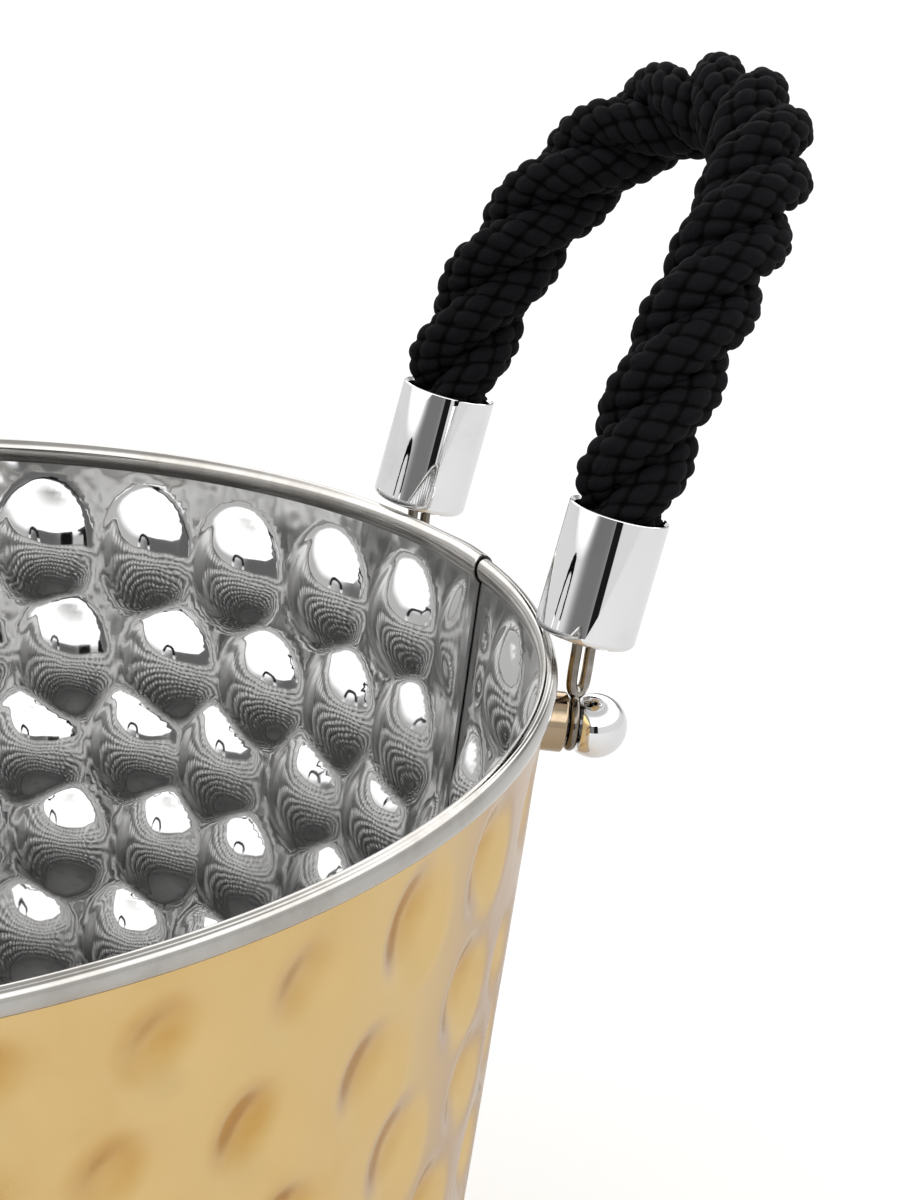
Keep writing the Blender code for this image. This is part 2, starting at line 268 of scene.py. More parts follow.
def stretched(tree, where, scale, place=(0, 0)):
    """A place scaled by its own amount along each axis."""
    made = node(tree, "ShaderNodeMapping", place)
    feed(tree, made.inputs["Scale"], scale)
    tree.links.new(where, made.inputs["Vector"])
    return made.outputs["Vector"]


def fade(tree, value, low, high, place=(0, 0), bottom=0.0, top=1.0):
    """A smooth change from bottom, where a value is low, to top, where it is high."""
    made = node(tree, "ShaderNodeMapRange", place, interpolation_type="SMOOTHSTEP")
    for label, number in (("From Min", low), ("From Max", high), ("To Min", bottom), ("To Max", top)):
        feed(tree, made.inputs[label], number)
    tree.links.new(value, made.inputs["Value"])
    return made.outputs["Result"]


def handling_marks():
    """Polished metal that has been handled: faint smears in its gloss and hairline polishing marks."""
    tree, inputs, outputs = new_group(
        "handling_marks",
        [("Gloss", 0.05), ("Smear", 0.05), ("Smear Size", 18.0), ("Hairline", 0.3)],
        [("Roughness", "NodeSocketFloat"), ("Height", "NodeSocketFloat"), ("Mask", "NodeSocketFloat")],
    )
    where = node(tree, "ShaderNodeTexCoord", (-900, -300)).outputs["Object"]
    cloud = noise(tree, where, inputs.outputs["Smear Size"], 5.0, (-600, 0), roughness=0.62)
    smears = fade(tree, cloud, 0.46, 0.74, (-400, 0))
    spread = math_node(tree, "MULTIPLY", smears, inputs.outputs["Smear"], (-200, 0))
    rough = math_node(tree, "ADD", spread, inputs.outputs["Gloss"], (0, 0))
    brushed = stretched(tree, where, (900.0, 900.0, 60.0), (-600, -400))
    hair = noise(tree, brushed, 1.0, 2.0, (-400, -400))
    height = math_node(tree, "MULTIPLY", hair, inputs.outputs["Hairline"], (-200, -400))
    tree.links.new(rough, outputs.inputs["Roughness"])
    tree.links.new(height, outputs.inputs["Height"])
    tree.links.new(smears, outputs.inputs["Mask"])
    return tree


HANDLING = handling_marks()


def new_material(name, metallic):
    """A material with its Principled shader, and the tree that holds it."""
    material = bpy.data.materials.new(name)
    material.use_nodes = True
    shader = material.node_tree.nodes["Principled BSDF"]
    shader.inputs["Metallic"].default_value = metallic
    return material, material.node_tree, shader


def bump_by(tree, shader, height, depth, place=(-300, -300)):
    """Bump a material's surface by a height from 0 to 1, as deep as depth."""
    bump = node(tree, "ShaderNodeBump", place)
    bump.inputs["Distance"].default_value = depth
    tree.links.new(height, bump.inputs["Height"])
    tree.links.new(bump.outputs["Normal"], shader.inputs["Normal"])


def handled(tree, shader, gloss, smear, size, hairline, depth=0.00002):
    """Put the handling marks into a material: its roughness, and a bump where it has hairlines."""
    marks = node(tree, "ShaderNodeGroup", (-600, -200), node_tree=HANDLING)
    marks.inputs["Gloss"].default_value = gloss
    marks.inputs["Smear"].default_value = smear
    marks.inputs["Smear Size"].default_value = size
    marks.inputs["Hairline"].default_value = hairline
    tree.links.new(marks.outputs["Roughness"], shader.inputs["Roughness"])
    if hairline > 0:
        bump_by(tree, shader, marks.outputs["Height"], depth)
    return marks


def blend_colours(tree, mask, first, second, place=(0, 0)):
    """Mix two colours, each a socket or a colour, by a mask."""
    mix = node(tree, "ShaderNodeMix", place, data_type="RGBA")
    tree.links.new(mask, mix.inputs["Factor"])
    for label, value in (("A", first), ("B", second)):
        socket = [s for s in mix.inputs if s.name == label and s.type == "RGBA"][0]
        feed(tree, socket, value)
    return [s for s in mix.outputs if s.type == "RGBA"][0]


GOLD_PALE = (0.73, 0.525, 0.24, 1.0)
GOLD_WARM = (0.68, 0.46, 0.185, 1.0)
# Painted shade: the orange-brown laid into each hollow.
GOLD_HOLLOW_SHADE = (0.58, 0.33, 0.085, 1.0)
# Painted reflection: rosy brown for the darker surroundings the coat reflects edge on.
GOLD_EDGE_REFLECTION = (0.40, 0.25, 0.17, 1.0)
MIRROR_STEEL = (0.57, 0.568, 0.565, 1.0)
MIRROR_DULL = (0.50, 0.498, 0.495, 1.0)
MIRROR_HAZE = 0.34
RIPPLE_DEPTH = 0.00020
JOINT_DARK = (0.05, 0.048, 0.046, 1.0)


def gold_coat():
    """Champagne gold over steel: satin, cloudy from hand to hand, with painted shade deeper in colour in
    each hollow.
    """
    material, tree, shader = new_material("champagne_gold", 1.0)
    marks = handled(tree, shader, gloss=0.22, smear=0.10, size=14.0, hairline=0.5)
    cloudy = blend_colours(tree, marks.outputs["Mask"], GOLD_PALE, GOLD_WARM, (-300, 200))
    # Painted shade: each hollow is painted a darker orange-brown, patchy, as if in shade.
    struck = node(tree, "ShaderNodeAttribute", (-900, 300), attribute_name="hollow_shade")
    hollow = fade(tree, struck.outputs["Fac"], 0.35, 1.00, (-600, 300), top=0.95)
    where = node(tree, "ShaderNodeTexCoord", (-1100, 0))
    patches = noise(tree, where.outputs["Object"], 55.0, 3.0, (-900, 0))
    uneven = fade(tree, patches, 0.32, 0.66, (-700, 0), bottom=0.45)
    hollow_shade = math_node(tree, "MULTIPLY", hollow, uneven, (-400, 300))
    colour = blend_colours(tree, hollow_shade, cloudy, GOLD_HOLLOW_SHADE, (-100, 200))
    # Painted reflection: the coat between the blows is painted rosy brown where it is seen edge on, for
    # the darker surroundings it reflects there.
    facing = node(tree, "ShaderNodeLayerWeight", (-900, 600))
    facing.inputs["Blend"].default_value = 0.5
    grazing = fade(tree, facing.outputs["Facing"], 0.58, 0.80, (-700, 600), top=0.70)
    flat = math_node(tree, "SUBTRACT", 1.0, hollow, (-500, 600))
    painted_edge_reflection = math_node(tree, "MULTIPLY", grazing, flat, (-300, 600))
    colour = blend_colours(tree, painted_edge_reflection, colour, GOLD_EDGE_REFLECTION, (100, 200))
    tree.links.new(colour, shader.inputs["Base Color"])
    return material


def dark_joint(tree, colour):
    """Darken a colour in the shadow of a lap joint."""
    joint = node(tree, "ShaderNodeAttribute", (-200, 500), attribute_name="joint")
    return blend_colours(tree, joint.outputs["Fac"], colour, JOINT_DARK, (0, 300))


def mirror_steel():
    """Stainless steel polished to a mirror, with a few dull smears from water and cloths."""
    material, tree, shader = new_material("mirror_steel", 1.0)
    marks = handled(tree, shader, gloss=0.06, smear=0.04, size=22.0, hairline=0.0)
    colour = blend_colours(tree, marks.outputs["Mask"], MIRROR_STEEL, MIRROR_DULL, (-200, 200))
    tree.links.new(dark_joint(tree, colour), shader.inputs["Base Color"])
    # Hammering leaves faint ripples over the domes and between them.
    where = node(tree, "ShaderNodeTexCoord", (-900, -900))
    ripple = noise(tree, where.outputs["Object"], 110.0, 1.0, (-700, -900))
    bump_by(tree, shader, ripple, RIPPLE_DEPTH, (-300, -900))
    # Polishing haze builds up from one reflection to the next inside the bucket.
    path = node(tree, "ShaderNodeLightPath", (-900, -600))
    haze = math_node(tree, "MULTIPLY", path.outputs["Is Glossy Ray"], MIRROR_HAZE, (-600, -600))
    rough = math_node(tree, "MAXIMUM", haze, marks.outputs["Roughness"], (-400, -600))
    tree.links.new(rough, shader.inputs["Roughness"])
    return material


wall = hammered_wall()
wall.data.materials.append(gold_coat())
wall.data.materials.append(mirror_steel())
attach(wall, "bucket")
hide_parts("bucket_wall")

# --------------------------------------------------------------------------------------------------
# Rolled rim
# The mouth is closed by an oval bead of polished steel, rolled over a wire. At the wall's seam the
# bead's swelled start sleeves over its end, which leaves a small step and a dark line.
# --------------------------------------------------------------------------------------------------

BEAD_HALF_WIDTH = 0.0022
BEAD_HALF_HEIGHT = 0.0032
BEAD_LAP = math.radians(1.1)
BEAD_SWELL = 0.22
BEAD_AROUND = 96
BEAD_GROOVE = math.radians(57.0)
GROOVE_DEPTH = 0.04
GROOVE_WIDTH = 0.09
BEAD_END_ROUND = 0.05
BEAD_END_REACH = 0.002
BEAD_JOINT = (0.0003, 0.0007)
RIM_STEEL = (0.50, 0.485, 0.46, 1.0)
RIM_DULL = (0.37, 0.35, 0.32, 1.0)
PIN_STEEL = (0.52, 0.52, 0.53, 1.0)
PIN_DULL = (0.40, 0.40, 0.41, 1.0)


def swept(name, rings, closed_ends=True):
    """A skin over a list of equal rings of points, with flat ends."""
    count, around = len(rings), len(rings[0])
    faces = []
    for i in range(count - 1):
        for j in range(around):
            k = (j + 1) % around
            faces.append([i * around + j, i * around + k, (i + 1) * around + k, (i + 1) * around + j])
    if closed_ends:
        faces.append(list(reversed(range(around))))
        faces.append([(count - 1) * around + j for j in range(around)])
    return new_piece(name, np.concatenate(rings), faces)


def rolled_rim():
    turns = np.linspace(0, 2 * math.pi, BEAD_AROUND + 1)[:-1]
    # A fine groove runs round the bead where its top turns over to its outer side.
    groove = 1 - GROOVE_DEPTH * np.exp(-(((turns - BEAD_GROOVE) / GROOVE_WIDTH) ** 2))
    full = 2 * math.pi
    sweep = full + 2 * BEAD_LAP
    fine = [np.linspace(0, 5 * BEAD_LAP, 40), np.linspace(full - BEAD_LAP, full, 40)]
    travel = np.unique(np.concatenate([np.linspace(0, sweep, 400)] + fine))
    rings = []
    for t in travel:
        azimuth = SEAM_AZIMUTH - BEAD_LAP / 2 + t
        swell = 1 + BEAD_SWELL * (1 - smooth_step(2.0 * BEAD_LAP, 8.0 * BEAD_LAP, t))
        swell = swell * (1 - BEAD_END_ROUND * math.exp(-((t / BEAD_END_REACH) ** 2)))
        radius = MOUTH_RADIUS + BEAD_HALF_WIDTH * swell * groove * np.cos(turns)
        height = RIM_HEIGHT + BEAD_HALF_HEIGHT * swell * groove * np.sin(turns)
        rings.append(np.stack([radius * np.cos(azimuth), radius * np.sin(azimuth), height], axis=1))
    rim = swept("rolled_rim", rings)
    short_of_end = (full - travel) * MOUTH_RADIUS
    gap = 1 - smooth_step(*BEAD_JOINT, short_of_end)
    gap[0] = 1.0
    joint = rim.data.attributes.new("joint", "FLOAT", "POINT")
    joint.data.foreach_set("value", np.repeat(gap, BEAD_AROUND).astype(np.float32))
    rim.data.set_sharp_from_angle(angle=math.radians(50.0))
    return rim


def rim_finish():
    """Bright rolled steel, a little duller than the mirror, with fine rubbing marks."""
    material, tree, shader = new_material("rim_steel", 1.0)
    marks = handled(tree, shader, gloss=0.10, smear=0.10, size=30.0, hairline=0.8)
    colour = blend_colours(tree, marks.outputs["Mask"], RIM_STEEL, RIM_DULL, (-200, 200))
    tree.links.new(dark_joint(tree, colour), shader.inputs["Base Color"])
    return material


RIM_FINISH = rim_finish()
rim = rolled_rim()
rim.data.materials.append(RIM_FINISH)
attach(rim, "bucket")
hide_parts("rim_roll")


def two_toned(name, tone, handled_tone, **handling):
    """A metal whose tone changes where it has been handled."""
    material, tree, shader = new_material(name, 1.0)
    marks = handled(tree, shader, **handling)
    colour = blend_colours(tree, marks.outputs["Mask"], tone, handled_tone, (-200, 200))
    tree.links.new(colour, shader.inputs["Base Color"])
    return material


def plain_steel():
    """Turned steel of the pieces that are hidden in use: pins and the rim's wire."""
    finish = {"gloss": 0.28, "smear": 0.15, "size": 60.0, "hairline": 1.0, "depth": 0.00005}
    return two_toned("plain_steel", PIN_STEEL, PIN_DULL, **finish)


PLAIN_STEEL = plain_steel()
for name, cad_node in frame["nodes"].items():
    if name == "rim_wire" or name.startswith(("stud_pin", "cross_pin")):
        cad_node.data.materials.clear()
        cad_node.data.materials.append(PLAIN_STEEL)

# --------------------------------------------------------------------------------------------------
# Base pan and foot ring
# The pan is spun from the same steel, with a slight crown and two shallow steps, and pressed into
# the wall's lower edge. The foot ring is a rounded band that stands on the table.
# --------------------------------------------------------------------------------------------------

PAN_LIFT = 0.0045
PAN_FLANGE = 0.006
PAN_CORNER = 0.0055
PAN_BEND = 0.0036
PAN_CROWN = 0.002
PAN_STEP = 0.0005
PAN_STEPS = (0.050, 0.105)
PAN_STEP_RUN = 0.003
FOOT_HEIGHT = 0.006
FOOT_WIDTH = 0.005
FOOT_SOFT = 0.0009
FOOT_SEAT = 0.001
FOOT_INSIDE = 0.0024
FOOT_SLOPE = 0.0006
SIT_GAP = 0.0004
SAME_POINT = 0.0000005
SPUN_STEEL = (0.34, 0.338, 0.335, 1.0)
SPUN_DULL = (0.26, 0.258, 0.255, 1.0)


def weld(piece):
    """Join the points that coincide, and turn every face outward."""
    work = bmesh.new()
    work.from_mesh(piece.data)
    bmesh.ops.remove_doubles(work, verts=work.verts, dist=SAME_POINT)
    bmesh.ops.recalc_face_normals(work, faces=work.faces)
    work.to_mesh(piece.data)
    work.free()


def turned(name, profile, steps=160, closed=False):
    """Turn (radius, height) points about Z; a closed profile makes a ring."""
    rings = []
    for radius, height in profile:
        turns = np.linspace(0, 2 * math.pi, steps + 1)[:-1]
        level = np.full(steps, height)
        rings.append(np.stack([radius * np.cos(turns), radius * np.sin(turns), level], axis=1))
    if closed:
        rings.append(rings[0])
    piece = swept(name, rings, closed_ends=False)
    weld(piece)
    piece.data.shade_smooth()
    piece.data.set_sharp_from_angle(angle=math.radians(35.0))
    return piece


def arc(centre, radius, start, end, count):
    """Points (radius, height) along an arc, with its angles in degrees."""
    turns = np.radians(np.linspace(start, end, count))
    return [(centre[0] + radius * math.cos(t), centre[1] + radius * math.sin(t)) for t in turns]


def base_pan():
    inset = SHEET / 2 / math.cos(WALL_TAPER) + SIT_GAP
    flange_top = PAN_LIFT + PAN_FLANGE
    edge = wall_radius(flange_top) - inset
    corner = edge - PAN_CORNER
    bend = (corner, PAN_LIFT + SHEET + PAN_BEND)
    skin = []
    for radius in np.linspace(0, corner, 60):
        crown = PAN_CROWN * (1 - (radius / corner) ** 2)
        up, down = (smooth_step(start, start + PAN_STEP_RUN, radius) for start in PAN_STEPS)
        skin.append((float(radius), PAN_LIFT + float(crown + PAN_STEP * (up - down))))
    upper = [(r, z + SHEET) for r, z in skin[:-1]] + arc(bend, PAN_BEND, -90, -12, 8)
    upper += [(edge - SHEET, flange_top), (edge, flange_top)]
    lower = arc(bend, PAN_BEND + SHEET, -12, -90, 8)
    return turned("base_pan", upper + lower + list(reversed(skin))[1:], 192)


def foot_band():
    middle = wall_radius(FOOT_HEIGHT)
    half, soft = FOOT_WIDTH / 2, FOOT_SOFT
    low, high = soft, FOOT_HEIGHT - 2 * soft
    outline = [(middle + FOOT_SEAT, FOOT_HEIGHT)]
    outline += arc((middle + half - soft, high), soft, 60, 0, 4)
    outline += arc((middle + half - soft, low), soft, 0, -90, 5)
    outline += arc((middle - half + soft, low), soft, -90, -180, 5)
    outline += [(middle - half, FOOT_INSIDE), (middle - FOOT_SEAT, FOOT_HEIGHT - FOOT_SLOPE)]
    return turned("foot_band", outline, 192, closed=True)


def spun_steel():
    """Steel as it leaves the spinning chuck: satin, greyer than the polished wall."""
    finish = {"gloss": 0.34, "smear": 0.12, "size": 16.0, "hairline": 0.8, "depth": 0.00005}
    return two_toned("spun_steel", SPUN_STEEL, SPUN_DULL, **finish)


pan = base_pan()
pan.data.materials.append(spun_steel())
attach(pan, "bucket")
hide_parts("bucket_base")
foot = foot_band()
foot.data.materials.append(RIM_FINISH)
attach(foot, "bucket")
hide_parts("foot_ring")

# --------------------------------------------------------------------------------------------------
# Studs
# Each handle hangs on two studs. A short drum is welded to the wall, a pin stands out of it through
# the link's ring, and a polished ball closes the pin. The ball is chrome plated, and the drum is
# painted a bronze tone, a painted reflection of the gold wall beside it.
# --------------------------------------------------------------------------------------------------

STUD_STANDOFF = 0.0088
BOSS_RADIUS = 0.0071
BALL_RADIUS = 0.0076
BALL_OFFSET = 0.0055
LINK_WIRE = 0.0013
PIN_BORE = 0.0039
DRUM_CLEAR = 0.0001
DRUM_SOFT = 0.0007
WELD_FILLET = 0.0006
WELD_RISE = 0.0008
CHROME = (0.83, 0.83, 0.84, 1.0)
CHROME_DULL = (0.76, 0.76, 0.77, 1.0)
# Painted reflection: the drum's bronze tones stand in for the gold wall it reflects.
DRUM_GOLD_REFLECTION = (0.38, 0.29, 0.19, 1.0)
DRUM_GOLD_REFLECTION_WORN = (0.54, 0.45, 0.34, 1.0)
# Painted reflection: the link's smoky tones stand in for the dark surroundings it reflects.
LINK_DARK_REFLECTION = (0.20, 0.18, 0.155, 1.0)
LINK_DARK_REFLECTION_WORN = (0.44, 0.42, 0.39, 1.0)
SIDES = {"right": 0.0, "left": math.pi}
ENDS = {"front": -1.0, "back": 1.0}
JOINTS = {joint["name"]: joint for joint in frame["joints"]}


def chrome_plate():
    """Decorative chrome over steel: a hard mirror with the faintest smears."""
    finish = {"gloss": 0.02, "smear": 0.03, "size": 70.0, "hairline": 0.0}
    return two_toned("chrome_plate", CHROME, CHROME_DULL, **finish)


def reflection_toned_plate(name, tone, worn):
    """Buffed steel painted another tone, a painted reflection of what stands round it, brighter where it
    is worn.
    """
    return two_toned(name, tone, worn, gloss=0.08, smear=0.08, size=90.0, hairline=0.3)


CHROME_PLATE = chrome_plate()
DRUM_PLATE = reflection_toned_plate("drum_plate", DRUM_GOLD_REFLECTION, DRUM_GOLD_REFLECTION_WORN)
LINK_PLATE = reflection_toned_plate("link_plate", LINK_DARK_REFLECTION, LINK_DARK_REFLECTION_WORN)


def stud_frame(label):
    """The stud's own frame: Z out along its axis, -X up along the link."""
    joint = JOINTS["link_%s_swing" % label]
    outward = Vector(joint["axis"]).normalized()
    across = Vector((0, 0, 1)).cross(outward).normalized()
    down = across.cross(outward)
    turn = Matrix((down, across, outward)).transposed().to_4x4()
    return Matrix.Translation(joint["pos_m"]) @ turn


def place(piece, matrix, body, slot, *nodes):
    """Set a piece built in a local frame into the bucket's frame, on its body, in its node's stead."""
    piece.data.transform(matrix)
    piece.data.update()
    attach(piece, body)
    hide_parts(*nodes)


def drum_profile():
    face = -LINK_WIRE - SIT_GAP
    foot_end = -STUD_STANDOFF * math.cos(WALL_TAPER) + DRUM_CLEAR
    outline = [(PIN_BORE, foot_end), (PIN_BORE, face)]
    outline += arc((BOSS_RADIUS - DRUM_SOFT, face - DRUM_SOFT), DRUM_SOFT, 90, 0, 6)
    # The weld spreads as a small fillet where the drum meets the wall.
    outline += arc((BOSS_RADIUS + WELD_FILLET, foot_end + WELD_RISE), WELD_FILLET, 180, 250, 5)
    return outline


def ball_profile():
    flat = LINK_WIRE + SIT_GAP
    reach = BALL_OFFSET - flat
    edge = math.degrees(math.asin(-reach / BALL_RADIUS))
    outline = arc((0.0, BALL_OFFSET), BALL_RADIUS, 90, edge, 40)
    outline[0] = (0.0, BALL_OFFSET + BALL_RADIUS)
    return outline + [(PIN_BORE, flat), (PIN_BORE, BALL_OFFSET + SIT_GAP), (0.0, BALL_OFFSET + SIT_GAP)]


for side in SIDES:
    for end in ENDS:
        label = side + "_" + end
        drum = turned("drum_" + label, drum_profile(), 72, closed=True)
        drum.data.materials.append(DRUM_PLATE)
        place(drum, stud_frame(label), "bucket", "chrome", "stud_boss_" + label)
        ball = turned("ball_" + label, ball_profile(), 72)
        ball.data.materials.append(CHROME_PLATE)
        place(ball, stud_frame(label), "bucket", "chrome", "ball_knob_" + label)

# --------------------------------------------------------------------------------------------------
# Links
# A link is forged in one piece: a ring that runs round the stud's pin, a waist, and a narrow eye
# turned a quarter, whose top goes into the cap round the cross pin. It is painted a smoky dark tone,
# a painted reflection of the dark parts round it, worn bright in places.
# --------------------------------------------------------------------------------------------------

LINK_RING_RADIUS = 0.0053
LINK_WAIST = 0.0072
WAIST_RISE = 0.0016
LIMB_SPREAD = 0.00175
LIMB_LOW = 0.0125
LIMB_TOP = 0.0190
EYE_SHOULDER = 0.0226
EYE_SPREAD = 0.00325
PIVOT_REACH = 0.0258
FORGE_VOXEL = 0.00028
STUD_AZIMUTH = math.radians(16.1)


def smooth_loop(points, count):
    """A closed Catmull-Rom curve through points, as count evenly spaced points."""
    knots = np.array(points)
    total = len(knots)
    fine = []
    for i in range(total):
        p0, p1, p2, p3 = (knots[(i + k) % total] for k in (-1, 0, 1, 2))
        for t in np.linspace(0, 1, 12, endpoint=False):
            fine.append(
                0.5 * (2 * p1 + (p2 - p0) * t + (2 * p0 - 5 * p1 + 4 * p2 - p3) * t * t
                       + (3 * p1 - p0 - 3 * p2 + p3) * t ** 3)
            )
    fine = np.array(fine + [fine[0]])
    reach = np.concatenate([[0], np.cumsum(np.linalg.norm(np.diff(fine, axis=0), axis=1))])
    wanted = np.linspace(0, reach[-1], count, endpoint=False)
    return np.stack([np.interp(wanted, reach, fine[:, axis]) for axis in range(3)], axis=1)


def ring_tube(name, path, plane_normal, radius, around=20):
    """A round tube along a closed path that lies in a plane."""
    ahead = np.roll(path, -1, axis=0) - np.roll(path, 1, axis=0)
    ahead = ahead / np.linalg.norm(ahead, axis=1)[:, None]
    side = np.cross(ahead, np.array(plane_normal))
    side = side / np.linalg.norm(side, axis=1)[:, None]
    turns = np.linspace(0, 2 * math.pi, around + 1)[:-1]
    rings = []
    for centre, out in zip(path, side):
        spin = np.cos(turns)[:, None] * out + np.sin(turns)[:, None] * np.array(plane_normal)
        rings.append(centre + radius * spin)
    rings.append(rings[0])
    piece = swept(name, rings, closed_ends=False)
    weld(piece)
    return piece


def apply_modifiers(piece):
    """Replace a piece's mesh by its evaluated one."""
    bpy.context.view_layer.update()
    graph = bpy.context.evaluated_depsgraph_get()
    mesh = bpy.data.meshes.new_from_object(piece.evaluated_get(graph))
    piece.modifiers.clear()
    piece.data = mesh


def forged_link(label, twist):
    """Ring and eye run together and smoothed, so that they flow into each other at the waist."""
    circle = np.linspace(0, 2 * math.pi, 65)[:-1]
    ring_path = LINK_RING_RADIUS * np.stack([np.cos(circle), np.sin(circle), 0 * circle], axis=1)
    ring = ring_tube("link_" + label, ring_path, (0, 0, 1), LINK_WIRE)

    sideways = np.array((0.0, -math.sin(twist), math.cos(twist)))
    upward = np.array((-1.0, 0.0, 0.0))
    shape = [(LINK_WAIST, 0.0), (LINK_WAIST + WAIST_RISE, 0.8 * LIMB_SPREAD)]
    shape += [(LIMB_LOW, LIMB_SPREAD), (LIMB_TOP, LIMB_SPREAD), (EYE_SHOULDER, 0.7 * EYE_SPREAD)]
    for turn in np.radians(np.linspace(0, 90, 4)):
        shape.append((PIVOT_REACH + EYE_SPREAD * math.sin(turn), EYE_SPREAD * math.cos(turn)))
    outline = shape + [(rise, -spread) for rise, spread in reversed(shape[1:-1])]
    path = smooth_loop([upward * rise + sideways * spread for rise, spread in outline], 120)
    eye = ring_tube("eye_" + label, path, np.cross(upward, sideways), LINK_WIRE)

    join = ring.modifiers.new("join", "BOOLEAN")
    join.operation = "UNION"
    join.solver = "EXACT"
    join.object = eye
    remesh = ring.modifiers.new("forge", "REMESH")
    remesh.mode = "VOXEL"
    remesh.voxel_size = FORGE_VOXEL
    remesh.use_smooth_shade = True
    smooth = ring.modifiers.new("dress", "SMOOTH")
    smooth.factor = 0.5
    smooth.iterations = 4
    apply_modifiers(ring)
    bpy.data.objects.remove(eye, do_unlink=True)
    return ring


for side in SIDES:
    for end, sign in ENDS.items():
        label = side + "_" + end
        link = forged_link(label, sign * STUD_AZIMUTH)
        link.data.shade_smooth()
        link.data.materials.clear()
        link.data.materials.append(LINK_PLATE)
        place(link, stud_frame(label), "link_" + label, "chrome", "link_" + label)

# --------------------------------------------------------------------------------------------------
# Caps
# Each rope end is glued into a drawn cup with a soft lower corner and a thin mouth. A round-ended
# slot in its floor lets the link's eye in.
# --------------------------------------------------------------------------------------------------

CAP_LEAN = math.radians(18.2)
CAP_RADIUS = 0.0119
CAP_WALL = 0.0011
CAP_LENGTH = 0.0306
CAP_FLOOR = 0.0015
PIVOT_ABOVE_BASE = 0.00445
CAP_CORNER = 0.0020
CAP_BEND = 0.001
CAP_LIP = 0.00035
SLOT_LENGTH = 0.0112
SLOT_WIDTH = 0.0066
SLOT_REACH = (-0.006, 0.001)
HALF_SPACING = (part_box("cap_right_back")[0].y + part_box("cap_right_back")[1].y) / 2
MOUTH = CAP_LENGTH - PIVOT_ABOVE_BASE


def handle_frame(side):
    """The handle's own frame at its pivot: Z up along the caps, X outward, Y along the hinge."""
    joint = JOINTS["handle_%s_tilt" % side]
    turn = Matrix.Rotation(SIDES[side], 4, "Z") @ Matrix.Rotation(CAP_LEAN, 4, "Y")
    return Matrix.Translation(joint["pos_m"]) @ turn


def cap_profile():
    base = -PIVOT_ABOVE_BASE
    floor = base + CAP_FLOOR
    inside = CAP_RADIUS - CAP_WALL
    lip = CAP_LIP
    outline = [(0.0, floor), (inside - CAP_BEND, floor), (inside, floor + CAP_BEND)]
    outline += [(inside, MOUTH - 2.2 * lip), (inside + lip, MOUTH - lip)]
    outline += arc((CAP_RADIUS - lip, MOUTH - lip), lip, 90, 0, 5)
    outline += arc((CAP_RADIUS - CAP_CORNER, base + CAP_CORNER), CAP_CORNER, 0, -90, 12)
    return outline + [(0.0, base)]


def slot_bar(name):
    """A round-ended bar, as long as the slot and standing through the cap's floor."""
    half = SLOT_LENGTH / 2 - SLOT_WIDTH / 2
    outline = []
    for centre, start in ((half, -90), (-half, 90)):
        for t in np.radians(np.linspace(start, start + 180, 20)):
            outline.append((centre + SLOT_WIDTH / 2 * math.cos(t), SLOT_WIDTH / 2 * math.sin(t)))
    rings = [np.array([(x, y, z) for x, y in outline]) for z in SLOT_REACH]
    return swept(name, rings)


def drawn_cap(label):
    cap = turned("cap_sleeve_" + label, cap_profile(), 96)
    bar = slot_bar("slot_bar_" + label)
    slot = cap.modifiers.new("slot", "BOOLEAN")
    slot.operation = "DIFFERENCE"
    slot.solver = "EXACT"
    slot.object = bar
    apply_modifiers(cap)
    bpy.data.objects.remove(bar, do_unlink=True)
    cap.data.shade_smooth()
    cap.data.set_sharp_from_angle(angle=math.radians(32.0))
    cap.data.materials.clear()
    cap.data.materials.append(CHROME_PLATE)
    return cap


for side in SIDES:
    for end, sign in ENDS.items():
        label = side + "_" + end
        cap = drawn_cap(label)
        spot = handle_frame(side) @ Matrix.Translation((0.0, sign * HALF_SPACING, 0.0))
        place(cap, spot, "handle_" + side, "chrome", "cap_" + label)

# --------------------------------------------------------------------------------------------------
# Ropes
# Black rope of three strands, laid right-handed, tighter at its front end than at its back. Each
# strand is a soft core in a plaited cover of ten yarns, five each way, that pass over and under one
# another. The rope's arch bends outward from the line of its caps, and its ends neck into them.
# --------------------------------------------------------------------------------------------------

ROPE_TUCK = 0.0165
ARCH_HEIGHT = 0.1161
ARCH_RISE = 0.062
ARCH_CROWN = 0.038
ARCH_BEND = 3.79
ARCH_DRIFT = 0.006
LAY_FRONT = 0.058
LAY_BACK = 0.069
LAY_CHANGE = (0.35, 0.65)
LAY_PHASE = 0.06
STRAND_RADIUS = 0.0059
YARNS_EACH_WAY = 5
PLAIT_PITCH = 0.037
YARN_BULGE = 0.0013
YARN_WAVE = 0.00055
YARN_CREASE = 0.0002
NECK = 0.80
NECK_LENGTH = 0.008
YARN_FIT = 1.96
CREASE_REACH = 0.30
STITCH_SQUARENESS = 5
STRAND_AROUND = 108
STRAND_STEP = 0.00042


